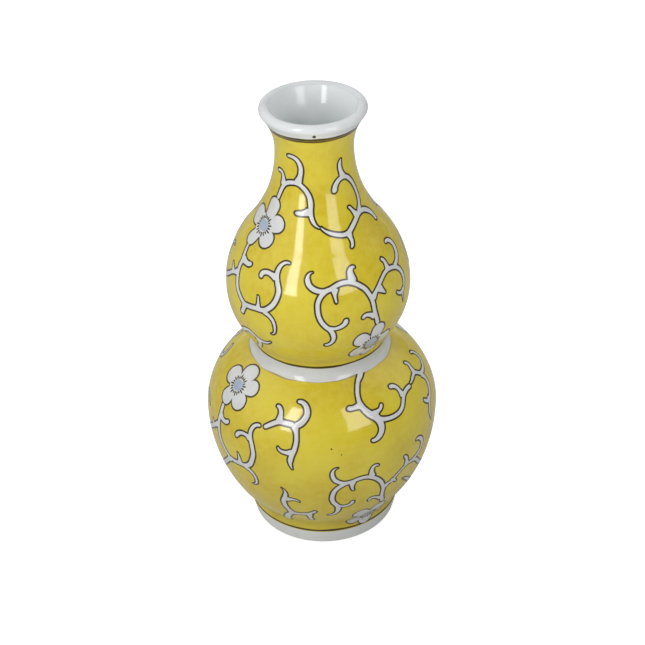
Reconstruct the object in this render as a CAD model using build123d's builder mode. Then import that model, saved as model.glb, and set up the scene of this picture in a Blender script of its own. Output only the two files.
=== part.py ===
from build123d import *

import os
from math import asin, atan2, cos, degrees, radians, sin
from typing import NamedTuple

# A double gourd vase in porcelain: thrown sections with lapped edges, luted with slip.
# Millimetres, +Z up, origin at the middle of the foot's underside.

# Clay and slip
wall_thickness = 4.0
slip_thickness = 0.4
joint_lap = 2.0  # length of the tongue on each lapped edge, along the wall

# Foot and floor
foot_radius = 31.6  # at the table
foot_flare = 1.8  # the foot's outer side leans out by this much
foot_height = 7.6
foot_edge_round = 1.0
floor_rebate = 2.6  # depth of the seat for the floor, from the foot's top
floor_ledge = 2.6  # width of that seat
floor_thickness = 4.5

# Lower bulb
belly_radius = 50.0
flank_rise = 48.6  # from the bowl's lower edge to the belly
flank_hollow = 11.2  # radius of the hollow where the flank springs from the foot
shoulder_rise = 34.8  # from the belly to the waist

# Waist
waist_radius = 28.5
lower_waist_hollow = 5.6
upper_waist_hollow = 11.0
collar_lower_angle = 43.0  # how far round each hollow the collar reaches, from the waist
collar_upper_angle = 12.0

# Upper bulb
crown_radius = 38.3
upper_bowl_rise = 27.3  # from the waist to the crown, the bulb's widest line
upper_shoulder_rise = 62.7  # from the crown to the neck

# Neck and mouth
neck_radius = 15.7
neck_hollow = 54.4
neck_wall = 4.1
throat_length = 8.0  # straight bore inside the neck
throat_drop = 9.4  # the throat's middle lies this far below the neck's narrowest line
mouth_rise = 18.6  # from the neck to the top of the lip
lip_radius = 21.3
lip_thickness = 4.1
rim_height = 7.4  # the white rim, from its joint to the top of the lip

# Stations up the axis
bowl_edge = foot_height + slip_thickness
belly_height = bowl_edge + flank_rise
waist_height = belly_height + shoulder_rise
crown_height = waist_height + upper_bowl_rise
neck_height = crown_height + upper_shoulder_rise
vase_height = neck_height + mouth_rise

foot_top_radius = foot_radius + foot_flare
bowl_opening = foot_top_radius - wall_thickness
throat_radius = neck_radius - neck_wall
throat_height = neck_height - throat_drop
throat_bottom = throat_height - throat_length / 2
throat_top = throat_height + throat_length / 2
lip_round = lip_thickness / 2
lip_centre_radius = lip_radius - lip_round
lip_centre_height = vase_height - lip_round
far_radius = 2 * max(belly_radius, crown_radius, lip_radius)


def reach(start, end):
    """Both radii, added, of an S-curve that is upright at start and at end."""
    spread = abs(end[0] - start[0])
    rise = abs(end[1] - start[1])
    return (spread**2 + rise**2) / (2 * spread)


def s_curve(start, end, hollow):
    """Draw the two tangent arcs from start to end; hollow is the radius at the narrow end."""
    bulge = reach(start, end) - hollow
    turn = degrees(2 * atan2(abs(end[0] - start[0]), abs(end[1] - start[1])))
    upward = end[1] > start[1]
    narrowing = end[0] < start[0]
    side = 1 if upward == narrowing else -1
    radii = (bulge, hollow) if narrowing else (hollow, bulge)
    first = JernArc(start, (0, 1) if upward else (0, -1), radii[0], side * turn)
    JernArc(first @ 1, first % 1, radii[1], -side * turn)


def flare(start_radius, start_height, side):
    """Radius and turn of an arc that leaves its start upright and touches the lip's round.

    side is 1 for the outer skin, which passes outside the round, and -1 for the inner one.
    """
    across = start_radius - lip_centre_radius
    rise = lip_centre_height - start_height
    radius = (across**2 + rise**2 - lip_round**2) / (2 * (side * lip_round - across))
    return radius, degrees(asin(rise / (radius + side * lip_round)))


outer_flare, outer_turn = flare(neck_radius, neck_height, 1)
inner_flare, inner_turn = flare(throat_radius, throat_top, -1)

# The wall's parallel inner skin: the same stations, in by one wall.
inner_belly = (belly_radius - wall_thickness, belly_height)
inner_waist = (waist_radius - wall_thickness, waist_height)
inner_crown = (crown_radius - wall_thickness, crown_height)
crown_bulge = reach((crown_radius, crown_height), (neck_radius, neck_height)) - neck_hollow
throat_hollow = reach(inner_crown, (throat_radius, throat_bottom)) - crown_bulge + wall_thickness


def wall_face():
    """The half section of the whole wall, from the bowl's lower edge round the lip and back."""
    with BuildLine() as outline:
        s_curve((foot_top_radius, bowl_edge), (belly_radius, belly_height), flank_hollow)
        s_curve((belly_radius, belly_height), (waist_radius, waist_height), lower_waist_hollow)
        s_curve((waist_radius, waist_height), (crown_radius, crown_height), upper_waist_hollow)
        s_curve((crown_radius, crown_height), (neck_radius, neck_height), neck_hollow)
        mouth = JernArc((neck_radius, neck_height), (0, 1), outer_flare, -outer_turn)
        lip = JernArc(mouth @ 1, mouth % 1, lip_round, 180 + outer_turn - inner_turn)
        JernArc(lip @ 1, lip % 1, inner_flare, inner_turn)
        Line((throat_radius, throat_top), (throat_radius, throat_bottom))
        s_curve((throat_radius, throat_bottom), inner_crown, throat_hollow)
        s_curve(inner_crown, inner_waist, upper_waist_hollow + wall_thickness)
        s_curve(inner_waist, inner_belly, lower_waist_hollow + wall_thickness)
        s_curve(inner_belly, (bowl_opening, bowl_edge), flank_hollow + wall_thickness)
        Line((bowl_opening, bowl_edge), (foot_top_radius, bowl_edge))
    make_face(outline.edges())


class Seat(NamedTuple):
    """Where two sections meet: a point on the outer skin, and how far the wall faces upward."""

    radius: float
    height: float
    lean: float


def seat_on_hollow(radius, height, hollow, turn):
    """A seat on a hollow arc, turn degrees up (positive) or down from its narrowest point."""
    return Seat(
        radius + hollow * (1 - cos(radians(turn))),
        height + hollow * sin(radians(turn)),
        -turn,
    )


belly_seat = Seat(belly_radius, belly_height, 0)
lower_waist_seat = seat_on_hollow(
    waist_radius, waist_height, lower_waist_hollow, -collar_lower_angle
)
upper_waist_seat = seat_on_hollow(
    waist_radius, waist_height, upper_waist_hollow, collar_upper_angle
)
crown_seat = Seat(crown_radius, crown_height, 0)
rim_turn = degrees(asin((mouth_rise - rim_height) / outer_flare))
rim_seat = seat_on_hollow(neck_radius, neck_height, outer_flare, rim_turn)


def joint_line(seat, side):
    """Corners of a lapped edge from far outside to the axis, square to the wall.

    side is -1 for the edge of the section below and 1 for the one above: they stand
    half the slip's thickness either way from the seat.
    """
    gap = side * slip_thickness / 2
    square = Vector(cos(radians(seat.lean)), sin(radians(seat.lean)))
    along = Vector(-square.Y, square.X)
    middle = Vector(seat.radius, seat.height) - square * wall_thickness / 2
    outside = middle + square * wall_thickness + along * gap
    step_low = middle + square * gap + along * gap
    step_high = step_low + along * joint_lap
    inside = middle - square * wall_thickness + along * (joint_lap + gap)
    return [(far_radius, outside.Y), outside, step_low, step_high, inside, (0, inside.Y)]


def level_line(height):
    return [(far_radius, height), (0, height)]


def keep_between(lower_line, upper_line):
    """Cut the sketch down to what lies between two lines across the wall."""
    with BuildLine() as outline:
        Polyline(*lower_line, *reversed(upper_line), close=True)
    make_face(outline.edges(), mode=Mode.INTERSECT)


os.makedirs("parts", exist_ok=True)


# Foot: a turned ring with an inner rebate that carries the floor.
foot_opening = bowl_opening - floor_ledge
ledge_height = foot_height - floor_rebate

with BuildPart() as foot_ring:
    with BuildSketch(Plane.XZ):
        with BuildLine():
            Polyline(
                (foot_opening, 0),
                (foot_radius, 0),
                (foot_top_radius, foot_height),
                (bowl_opening, foot_height),
                (bowl_opening, ledge_height),
                (foot_opening, ledge_height),
                close=True,
            )
        make_face()
    revolve(axis=Axis.Z)
    fillet(foot_ring.edges().filter_by(GeomType.CIRCLE).group_by(Axis.Z)[0], foot_edge_round)
foot_ring.part.label = "foot_ring"
export_step(foot_ring.part, "parts/foot_ring.step")


# Floor: a flat slab bedded in slip on the foot's ledge.
floor_radius = bowl_opening - slip_thickness
floor_underside = ledge_height + slip_thickness

with BuildPart() as base_disc:
    with BuildSketch(Plane.XY.offset(floor_underside)):
        Circle(floor_radius)
    extrude(amount=floor_thickness)
base_disc.part.label = "base_disc"
export_step(base_disc.part, "parts/base_disc.step")

with BuildPart() as base_slip:
    with BuildSketch(Plane.XY.offset(ledge_height)):
        Circle(bowl_opening)
        Circle(foot_opening, mode=Mode.SUBTRACT)
    extrude(amount=slip_thickness)
    with BuildSketch(Plane.XY.offset(floor_underside)):
        Circle(bowl_opening)
        Circle(floor_radius, mode=Mode.SUBTRACT)
    extrude(amount=floor_thickness)
base_slip.part.label = "base_slip"
export_step(base_slip.part, "parts/base_slip.step")

with BuildPart() as foot_slip:
    with BuildSketch(Plane.XY.offset(foot_height)):
        Circle(foot_top_radius)
        Circle(bowl_opening, mode=Mode.SUBTRACT)
    extrude(amount=slip_thickness)
foot_slip.part.label = "foot_slip"
export_step(foot_slip.part, "parts/foot_slip.step")


# Lower bulb: a bowl up to the belly, and a shoulder thrown upside down and set on it.
with BuildPart() as lower_bulb_bowl:
    with BuildSketch(Plane.XZ):
        wall_face()
        keep_between(level_line(bowl_edge), joint_line(belly_seat, -1))
    revolve(axis=Axis.Z)
lower_bulb_bowl.part.label = "lower_bulb_bowl"
export_step(lower_bulb_bowl.part, "parts/lower_bulb_bowl.step")

with BuildPart() as lower_bulb_shoulder:
    with BuildSketch(Plane.XZ):
        wall_face()
        keep_between(joint_line(belly_seat, 1), joint_line(lower_waist_seat, -1))
    revolve(axis=Axis.Z)
lower_bulb_shoulder.part.label = "lower_bulb_shoulder"
export_step(lower_bulb_shoulder.part, "parts/lower_bulb_shoulder.step")


# Waist: a short hollow-sided collar between the bulbs.
with BuildPart() as waist_collar:
    with BuildSketch(Plane.XZ):
        wall_face()
        keep_between(joint_line(lower_waist_seat, 1), joint_line(upper_waist_seat, -1))
    revolve(axis=Axis.Z)
waist_collar.part.label = "waist_collar"
export_step(waist_collar.part, "parts/waist_collar.step")


# Upper bulb: a bowl up to the crown, and a shoulder drawn in to the neck and its throat.
with BuildPart() as upper_bulb_bowl:
    with BuildSketch(Plane.XZ):
        wall_face()
        keep_between(joint_line(upper_waist_seat, 1), joint_line(crown_seat, -1))
    revolve(axis=Axis.Z)
upper_bulb_bowl.part.label = "upper_bulb_bowl"
export_step(upper_bulb_bowl.part, "parts/upper_bulb_bowl.step")

with BuildPart() as upper_bulb_shoulder:
    with BuildSketch(Plane.XZ):
        wall_face()
        keep_between(joint_line(crown_seat, 1), joint_line(rim_seat, -1))
    revolve(axis=Axis.Z)
upper_bulb_shoulder.part.label = "upper_bulb_shoulder"
export_step(upper_bulb_shoulder.part, "parts/upper_bulb_shoulder.step")


# Mouth: the flared rim with its round lip.
with BuildPart() as mouth_rim:
    with BuildSketch(Plane.XZ):
        wall_face()
        keep_between(joint_line(rim_seat, 1), level_line(vase_height + lip_round))
    revolve(axis=Axis.Z)
mouth_rim.part.label = "mouth_rim"
export_step(mouth_rim.part, "parts/mouth_rim.step")


# Slip: the thin layer left in each lapped joint of the wall.
wall_seats = {
    "belly_slip": belly_seat,
    "lower_waist_slip": lower_waist_seat,
    "upper_waist_slip": upper_waist_seat,
    "crown_slip": crown_seat,
    "rim_slip": rim_seat,
}
for slip_name, seat in wall_seats.items():
    with BuildPart() as slip:
        with BuildSketch(Plane.XZ):
            wall_face()
            keep_between(joint_line(seat, -1), joint_line(seat, 1))
        revolve(axis=Axis.Z)
    slip.part.label = slip_name
    export_step(slip.part, f"parts/{slip_name}.step")
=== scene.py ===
from math import asin, atan2, ceil, cos, pi, radians, sin, sqrt
from typing import NamedTuple

import bmesh
import bpy
from mathutils import Matrix, Vector


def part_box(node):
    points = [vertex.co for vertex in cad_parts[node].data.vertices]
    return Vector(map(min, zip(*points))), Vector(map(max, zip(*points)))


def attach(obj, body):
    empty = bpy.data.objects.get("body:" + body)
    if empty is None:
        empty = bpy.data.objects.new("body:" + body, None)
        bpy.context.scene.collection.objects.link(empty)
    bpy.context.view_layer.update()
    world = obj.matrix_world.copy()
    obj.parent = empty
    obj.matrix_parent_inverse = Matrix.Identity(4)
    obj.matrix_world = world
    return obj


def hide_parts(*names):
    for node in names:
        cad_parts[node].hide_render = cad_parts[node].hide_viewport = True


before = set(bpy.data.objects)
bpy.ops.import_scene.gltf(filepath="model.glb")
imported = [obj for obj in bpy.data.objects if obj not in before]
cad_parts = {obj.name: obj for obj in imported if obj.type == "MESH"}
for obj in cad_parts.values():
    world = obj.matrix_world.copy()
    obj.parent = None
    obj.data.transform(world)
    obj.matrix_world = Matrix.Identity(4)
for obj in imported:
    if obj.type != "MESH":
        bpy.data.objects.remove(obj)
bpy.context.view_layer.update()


# Foot ring: a porcelain ring turned to lean out as it rises, luted under the bowl.
# It wears a lighter copy of the mouth's cool white glaze, painted light on the foot, wiped off the flat that
# stands on the shelf.
mm = 0.001
foot_top_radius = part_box("foot_ring")[1].x
foot_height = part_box("foot_ring")[1].z
standing_radius = 31.6 * mm
foot_opening = 26.8 * mm
foot_edge_round = 1.0 * mm
floor_seat_radius = 29.4 * mm
floor_seat_height = 5.0 * mm
wiped_height = 0.7 * mm
row_spacing = 1.0 * mm
row_turn = radians(4)
steps_around = 240


class Arc(NamedTuple):
    """A round stretch of an outline: its centre out from the axis and up, radius and angles."""

    out: float
    up: float
    radius: float
    first: float
    last: float

    def at(self, angle):
        return (self.out + self.radius * cos(angle), self.up + self.radius * sin(angle))

    def length(self):
        return self.radius * abs(self.last - self.first)

    def points(self):
        rows = ceil(max(self.length() / row_spacing, abs(self.last - self.first) / row_turn))
        turn = (self.last - self.first) / rows
        return [self.at(self.first + turn * row) for row in range(rows + 1)]


def along(*stretches):
    """One run of points through arcs and lists of points, each shared end kept once."""
    run = []
    for stretch in stretches:
        for point in stretch.points() if isinstance(stretch, Arc) else stretch:
            if not run or (Vector(point) - Vector(run[-1])).length > 1e-6:
                run.append(point)
    return run


def add_node(tree, kind, feeds=None, **settings):
    """Add a node, set its properties and feed its inputs with values or other nodes' outputs."""
    node = tree.nodes.new(kind)
    for name, value in settings.items():
        setattr(node, name, value)
    for name, source in (feeds or {}).items():
        if isinstance(source, bpy.types.NodeSocket):
            tree.links.new(source, node.inputs[name])
        else:
            node.inputs[name].default_value = source
    return node


def calc(tree, operation, *values):
    """Output of a Math node."""
    return add_node(tree, "ShaderNodeMath", dict(enumerate(values)), operation=operation).outputs[0]


def new_geometry_tree(name, inputs):
    """An empty Geometry Nodes tree with these named inputs and one mesh output."""
    tree = bpy.data.node_groups.new(name, "GeometryNodeTree")
    for label, kind in inputs.items():
        tree.interface.new_socket(label, in_out="INPUT", socket_type="NodeSocket" + kind)
    tree.interface.new_socket("Mesh", in_out="OUTPUT", socket_type="NodeSocketGeometry")
    return tree


def turning_tree():
    """Turn a closed outline round the upright axis, as a potter's wheel does."""
    tree = new_geometry_tree(
        "turned clay",
        {
            "Outline": "Object",
            "Outline points": "Int",
            "Steps around": "Int",
            "Outside glaze": "Material",
            "Inside glaze": "Material",
        },
    )
    given = add_node(tree, "NodeGroupInput").outputs
    outline = add_node(tree, "GeometryNodeObjectInfo", {"Object": given["Outline"]}).outputs["Geometry"]
    grid = add_node(
        tree,
        "GeometryNodeMeshGrid",
        {
            "Size X": 1.0,
            "Size Y": 1.0,
            "Vertices X": calc(tree, "ADD", given["Steps around"], 1.0),
            "Vertices Y": given["Outline points"],
        },
    )
    place = add_node(tree, "ShaderNodeSeparateXYZ", {0: grid.outputs["UV Map"]}).outputs
    last_point = calc(tree, "SUBTRACT", given["Outline points"], 1.0)
    outline_index = add_node(
        tree,
        "FunctionNodeFloatToInt",
        {0: calc(tree, "MULTIPLY", place["Y"], last_point)},
        rounding_mode="ROUND",
    ).outputs[0]
    on_outline = add_node(
        tree,
        "GeometryNodeSampleIndex",
        {
            "Geometry": outline,
            "Value": add_node(tree, "GeometryNodeInputPosition").outputs[0],
            "Index": outline_index,
        },
        data_type="FLOAT_VECTOR",
    ).outputs[0]
    out_and_up = add_node(tree, "ShaderNodeSeparateXYZ", {0: on_outline}).outputs
    angle = calc(tree, "MULTIPLY", place["X"], 2 * pi)
    turned = add_node(
        tree,
        "ShaderNodeCombineXYZ",
        {
            "X": calc(tree, "MULTIPLY", out_and_up["X"], calc(tree, "SINE", angle)),
            "Y": calc(
                tree,
                "MULTIPLY",
                calc(tree, "MULTIPLY", out_and_up["X"], calc(tree, "COSINE", angle)),
                -1.0,
            ),
            "Z": out_and_up["Z"],
        },
    ).outputs[0]
    skin = add_node(
        tree,
        "GeometryNodeStoreNamedAttribute",
        {"Geometry": grid.outputs["Mesh"], "Name": "inside", "Value": out_and_up["Y"]},
    ).outputs[0]
    placed = add_node(tree, "GeometryNodeSetPosition", {"Geometry": skin, "Position": turned}).outputs[0]
    closed = add_node(tree, "GeometryNodeMergeByDistance", {"Geometry": placed, "Distance": 1e-7}).outputs[0]
    inside = add_node(tree, "GeometryNodeInputNamedAttribute", {"Name": "inside"}).outputs[0]
    whole = add_node(tree, "GeometryNodeRealizeInstances", {"Geometry": closed}).outputs[0]
    glazed = add_node(
        tree, "GeometryNodeSetMaterial", {"Geometry": whole, "Material": given["Outside glaze"]}
    ).outputs[0]
    lined = add_node(
        tree,
        "GeometryNodeSetMaterial",
        {
            "Geometry": glazed,
            "Selection": calc(tree, "GREATER_THAN", inside, 0.25),
            "Material": given["Inside glaze"],
        },
    ).outputs[0]
    add_node(tree, "NodeGroupOutput", {0: lined})
    return tree


def run_tree(name, tree, values):
    """Run a tree with these values of its inputs and keep the result as a plain mesh object."""
    piece = bpy.data.objects.new(name, bpy.data.meshes.new(name))
    bpy.context.scene.collection.objects.link(piece)
    modifier = piece.modifiers.new(tree.name, "NODES")
    modifier.node_group = tree
    for socket in tree.interface.items_tree:
        if socket.in_out == "INPUT":
            modifier[socket.identifier] = values[socket.name]
    blank = piece.data
    depsgraph = bpy.context.evaluated_depsgraph_get()
    piece.data = bpy.data.meshes.new_from_object(piece.evaluated_get(depsgraph))
    piece.data.name = name
    piece.modifiers.remove(modifier)
    bpy.data.meshes.remove(blank)
    return piece


def remove_helper(helper):
    """Delete a helper object and its data."""
    data = helper.data
    bpy.data.objects.remove(helper)
    (bpy.data.curves if isinstance(data, bpy.types.Curve) else bpy.data.meshes).remove(data)


def face_outwards(piece):
    """Point every face of a closed piece outwards and smooth it, except across sharp corners."""
    shell = bmesh.new()
    shell.from_mesh(piece.data)
    bmesh.ops.recalc_face_normals(shell, faces=shell.faces)
    shell.to_mesh(piece.data)
    shell.free()
    piece.data.shade_smooth()
    piece.data.set_sharp_from_angle(angle=radians(50))


def turn_section(name, section, outside_glaze, inside_glaze):
    """Turn a section, given as points out from the axis, on the inside or not, and up."""
    outline_mesh = bpy.data.meshes.new("outline")
    outline_mesh.from_pydata(section, [(i, i + 1) for i in range(len(section) - 1)], [])
    outline = bpy.data.objects.new("outline", outline_mesh)
    bpy.context.scene.collection.objects.link(outline)
    turned = run_tree(
        name,
        turned_clay,
        {
            "Outline": outline,
            "Outline points": len(section),
            "Steps around": steps_around,
            "Outside glaze": outside_glaze,
            "Inside glaze": inside_glaze,
        },
    )
    remove_helper(outline)
    return turned


def turned_piece(name, outside, inside, outside_glaze, inside_glaze):
    """Turn a closed section: its outside run going up, then its inside run coming down."""
    section = [(out, 0.0, up) for out, up in outside]
    section += [(out, 1.0, up) for out, up in inside]
    piece = turn_section(name, section + section[:1], outside_glaze, inside_glaze)
    face_outwards(piece)
    return piece


def glaze_flow_group():
    """How a fired glaze lies: where it pooled thick, and the slow ripple of its surface."""
    group = bpy.data.node_groups.new("glaze flow", "ShaderNodeTree")
    for label in ("Cloud scale", "Mottle scale", "Ripple scale"):
        group.interface.new_socket(label, in_out="INPUT", socket_type="NodeSocketFloat")
    for label in ("Pooling", "Mottle", "Ripple"):
        group.interface.new_socket(label, in_out="OUTPUT", socket_type="NodeSocketFloat")
    given = add_node(group, "NodeGroupInput").outputs
    place = add_node(group, "ShaderNodeTexCoord").outputs["Object"]
    clouds = add_node(
        group,
        "ShaderNodeTexNoise",
        {"Vector": place, "Scale": given["Cloud scale"], "Detail": 3.0, "Roughness": 0.55},
    ).outputs[0]
    mottle = add_node(
        group,
        "ShaderNodeTexNoise",
        {"Vector": place, "Scale": given["Mottle scale"], "Detail": 4.0, "Roughness": 0.6},
    ).outputs[0]
    ripple = add_node(
        group,
        "ShaderNodeTexNoise",
        {"Vector": place, "Scale": given["Ripple scale"], "Detail": 1.0},
    ).outputs[0]
    pooling = add_node(
        group,
        "ShaderNodeMapRange",
        {0: clouds, 1: 0.32, 2: 0.68},
        interpolation_type="SMOOTHSTEP",
    ).outputs[0]
    add_node(group, "NodeGroupOutput", {"Pooling": pooling, "Mottle": mottle, "Ripple": ripple})
    return group


def new_material(name):
    """An empty node material with its Principled shader."""
    material = bpy.data.materials.new(name)
    material.use_nodes = True
    shader = material.node_tree.nodes["Principled BSDF"]
    return material, material.node_tree, shader


def glaze_flow_node(tree, cloud, mottle, ripple):
    """Place the glaze flow in a material; the sizes are how large its patches are."""
    flow = add_node(tree, "ShaderNodeGroup", node_tree=glaze_flow)
    flow.inputs["Cloud scale"].default_value = 1 / cloud
    flow.inputs["Mottle scale"].default_value = 1 / mottle
    flow.inputs["Ripple scale"].default_value = 1 / ripple
    return flow.outputs


def mix_colour(tree, share, first, second):
    """Output of a colour Mix node."""
    mix = add_node(tree, "ShaderNodeMix", data_type="RGBA")
    for socket, source in ((mix.inputs[0], share), (mix.inputs[6], first), (mix.inputs[7], second)):
        if isinstance(source, bpy.types.NodeSocket):
            tree.links.new(source, socket)
        else:
            socket.default_value = source if isinstance(source, float) else (*source, 1.0)
    return mix.outputs[2]


def between(tree, share, low, high):
    """Output that goes from low to high as share goes from 0 to 1."""
    return add_node(tree, "ShaderNodeMapRange", {0: share, 3: low, 4: high}).outputs[0]


def rippled_normal(tree, ripple, height):
    """Normal of a surface whose ripple stands this high."""
    bump = add_node(tree, "ShaderNodeBump", {"Height": ripple, "Strength": 1.0, "Distance": height})
    return bump.outputs[0]


def white_glaze_material(name, thin, thick, wiped=False):
    """Cool white glaze on porcelain; where wiped, the clay is bare close to the shelf."""
    material, tree, shader = new_material(name)
    flow = glaze_flow_node(tree, cloud=14 * mm, mottle=1.6 * mm, ripple=9 * mm)
    colour = mix_colour(tree, flow["Pooling"], thin, thick)
    roughness = between(tree, flow["Mottle"], 0.08, 0.18)
    if wiped:
        place = add_node(tree, "ShaderNodeTexCoord").outputs["Object"]
        height = add_node(tree, "ShaderNodeSeparateXYZ", {0: place}).outputs["Z"]
        ragged = calc(tree, "MULTIPLY_ADD", flow["Mottle"], 0.5 * mm, height)
        bare = add_node(
            tree,
            "ShaderNodeMapRange",
            {0: ragged, 1: wiped_height + 0.2 * mm, 2: wiped_height, 3: 0.0, 4: 1.0},
        ).outputs[0]
        colour = mix_colour(tree, bare, colour, (0.56, 0.50, 0.42))
        roughness = calc(tree, "MAXIMUM", roughness, calc(tree, "MULTIPLY", bare, 0.75))
    tree.links.new(colour, shader.inputs["Base Color"])
    tree.links.new(roughness, shader.inputs["Roughness"])
    tree.links.new(rippled_normal(tree, flow["Ripple"], 0.05 * mm), shader.inputs["Normal"])
    return material


turned_clay = turning_tree()
glaze_flow = glaze_flow_group()
thin_white, thick_white = (0.79, 0.81, 0.81), (0.72, 0.75, 0.76)
white_glaze = white_glaze_material("white_glaze", thin_white, thick_white)
# Painted light: the foot's white is set lighter than the white glaze elsewhere.
lit_foot_glaze = white_glaze_material("lit_foot_glaze", (0.86, 0.88, 0.87), (0.80, 0.82, 0.82), wiped=True)

foot_lean = atan2(foot_top_radius - standing_radius, foot_height)
outer_round_out = standing_radius - foot_edge_round * (1 - sin(foot_lean)) / cos(foot_lean)
foot_ring = turned_piece(
    "foot_ring_glazed",
    along(
        Arc(foot_opening + foot_edge_round, foot_edge_round, foot_edge_round, pi, 1.5 * pi),
        Arc(outer_round_out, foot_edge_round, foot_edge_round, -pi / 2, -foot_lean),
        [(foot_top_radius, foot_height)],
    ),
    [
        (floor_seat_radius, foot_height),
        (floor_seat_radius, floor_seat_height),
        (foot_opening, floor_seat_height),
    ],
    lit_foot_glaze,
    lit_foot_glaze,
)
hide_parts("foot_ring")
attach(foot_ring, "root")


# Floor: a porcelain slab bedded in slip on the foot ring's ledge, glazed white on both faces.
# Its underside is a little dished, as a slab dries, and its edge is bedded in the slip.
slab_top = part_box("base_disc")[1].z
slab_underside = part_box("base_slip")[0].z
slab_dish = 0.4 * mm
dish_radius = (foot_opening**2 + slab_dish**2) / (2 * slab_dish)
dish_turn = asin(foot_opening / dish_radius)
dish = Arc(0.0, slab_underside + slab_dish - dish_radius, dish_radius, pi / 2, pi / 2 - dish_turn)
base_disc = turned_piece(
    "base_disc_glazed",
    along(dish, [(floor_seat_radius, slab_underside), (floor_seat_radius, slab_top)]),
    [(0.0, slab_top)],
    white_glaze,
    white_glaze,
)
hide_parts("base_disc", "base_slip")
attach(base_disc, "root")


# Lower bulb: a thrown bowl and a shoulder luted at the belly, so that no seam shows outside.
# A yellow enamel ground, brushed on unevenly, covers the outside; the inside is glazed white.
wall_thickness = 4.0 * mm
bowl_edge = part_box("lower_bulb_bowl")[0].z
belly_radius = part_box("lower_bulb_bowl")[1].x
belly_height = 56.6 * mm
flank_hollow = 11.2 * mm
waist_radius = 28.5 * mm
waist_height = 91.4 * mm
lower_waist_hollow = 5.6 * mm
collar_lower_angle = radians(43)


def swell(low, high, hollow):
    """Two touching arcs from low to high, upright at both; hollow is the narrow one's radius."""
    (low_out, low_up), (high_out, high_up) = low, high
    spread = abs(high_out - low_out)
    rise = high_up - low_up
    bulge = (spread**2 + rise**2) / (2 * spread) - hollow
    turn = 2 * atan2(spread, rise)
    if low_out > high_out:
        return [
            Arc(low_out - bulge, low_up, bulge, 0.0, turn),
            Arc(high_out + hollow, high_up, hollow, pi + turn, pi),
        ]
    return [
        Arc(low_out + hollow, low_up, hollow, pi, pi - turn),
        Arc(high_out - bulge, high_up, bulge, -turn, 0.0),
    ]


def lining(low, high, hollow):
    """The inner skin under a swell, one wall in, coming down."""
    rising = swell((low[0] - wall_thickness, low[1]), (high[0] - wall_thickness, high[1]), hollow)
    return [arc._replace(first=arc.last, last=arc.first) for arc in reversed(rising)]


def fade(tree, value, start, end, first, last):
    """Output that eases from first to last as a value goes from start to end."""
    return add_node(
        tree,
        "ShaderNodeMapRange",
        {0: value, 1: start, 2: end, 3: first, 4: last},
        interpolation_type="SMOOTHSTEP",
    ).outputs[0]


def yellow_glaze_material():
    """Glossy yellow enamel: lemon where thin, ochre where thick, dull in the hollows at foot and waist."""
    material, tree, shader = new_material("yellow_glaze")
    flow = glaze_flow_node(tree, cloud=26 * mm, mottle=3.0 * mm, ripple=11 * mm)
    lemon, ochre, thin = (0.73, 0.60, 0.040), (0.63, 0.47, 0.018), (0.75, 0.64, 0.075)
    ground = mix_colour(tree, flow["Pooling"], lemon, ochre)
    speckle = between(tree, flow["Mottle"], -0.5, 1.0)
    colour = mix_colour(tree, calc(tree, "MAXIMUM", speckle, 0.0), ground, thin)
    tree.links.new(colour, shader.inputs["Base Color"])
    shader.inputs["IOR"].default_value = 1.55
    place = add_node(tree, "ShaderNodeTexCoord").outputs["Object"]
    height = add_node(tree, "ShaderNodeSeparateXYZ", {0: place}).outputs["Z"]
    above_foot = fade(tree, height, 16 * mm, 24 * mm, 1.0, 0.0)
    above_waist = calc(
        tree,
        "MULTIPLY",
        fade(tree, height, 90 * mm, 92 * mm, 0.0, 1.0),
        fade(tree, height, 102 * mm, 109 * mm, 1.0, 0.0),
    )
    in_hollow = calc(tree, "MULTIPLY", calc(tree, "MAXIMUM", above_foot, above_waist), 0.5)
    polished = between(tree, flow["Mottle"], 0.05, 0.15)
    tree.links.new(calc(tree, "MAXIMUM", polished, in_hollow), shader.inputs["Roughness"])
    tree.links.new(rippled_normal(tree, flow["Ripple"], 0.09 * mm), shader.inputs["Normal"])
    return material


yellow_glaze = yellow_glaze_material()
# Painted light: the inside is glazed in a lighter copy of the white glaze, so the mouth's interior looks
# brighter.
lit_lining_glaze = white_glaze_material("lit_lining_glaze", (0.85, 0.88, 0.88), (0.79, 0.82, 0.83))
foot_place = (foot_top_radius, bowl_edge)
belly_place = (belly_radius, belly_height)
waist_place = (waist_radius, waist_height)
flank = swell(foot_place, belly_place, flank_hollow)
shoulder = swell(belly_place, waist_place, lower_waist_hollow)
flank_lining = lining(foot_place, belly_place, flank_hollow + wall_thickness)
shoulder_lining = lining(belly_place, waist_place, lower_waist_hollow + wall_thickness)
lower_collar_turn = pi + collar_lower_angle

lower_bulb = turned_piece(
    "lower_bulb",
    along(
        [(foot_top_radius, foot_height)],
        *flank,
        shoulder[0],
        shoulder[1]._replace(last=lower_collar_turn),
    ),
    along(
        shoulder_lining[0]._replace(first=lower_collar_turn),
        shoulder_lining[1],
        *flank_lining,
        [(foot_top_radius - wall_thickness, foot_height)],
    ),
    yellow_glaze,
    lit_lining_glaze,
)
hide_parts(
    "lower_bulb_bowl", "lower_bulb_shoulder", "belly_slip", "foot_slip", "lower_waist_slip"
)
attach(lower_bulb, "root")


# Waist collar: a short hollow-sided ring between the bulbs, thrown with a tight lower curve.
# It is left in a darker, greyer copy of the white glaze, painted shade under the overhang of the upper bulb.
upper_waist_hollow = 11.0 * mm
collar_upper_angle = radians(12)
crown_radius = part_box("upper_bulb_bowl")[1].x
crown_height = 118.7 * mm
crown_place = (crown_radius, crown_height)
upper_flank = swell(waist_place, crown_place, upper_waist_hollow)
upper_flank_lining = lining(waist_place, crown_place, upper_waist_hollow + wall_thickness)
upper_collar_turn = pi - collar_upper_angle
# Painted shade: the collar's white is set darker and greyer than the white glaze elsewhere.
shaded_collar_glaze = white_glaze_material("shaded_collar_glaze", (0.69, 0.70, 0.69), (0.62, 0.64, 0.64))

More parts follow.
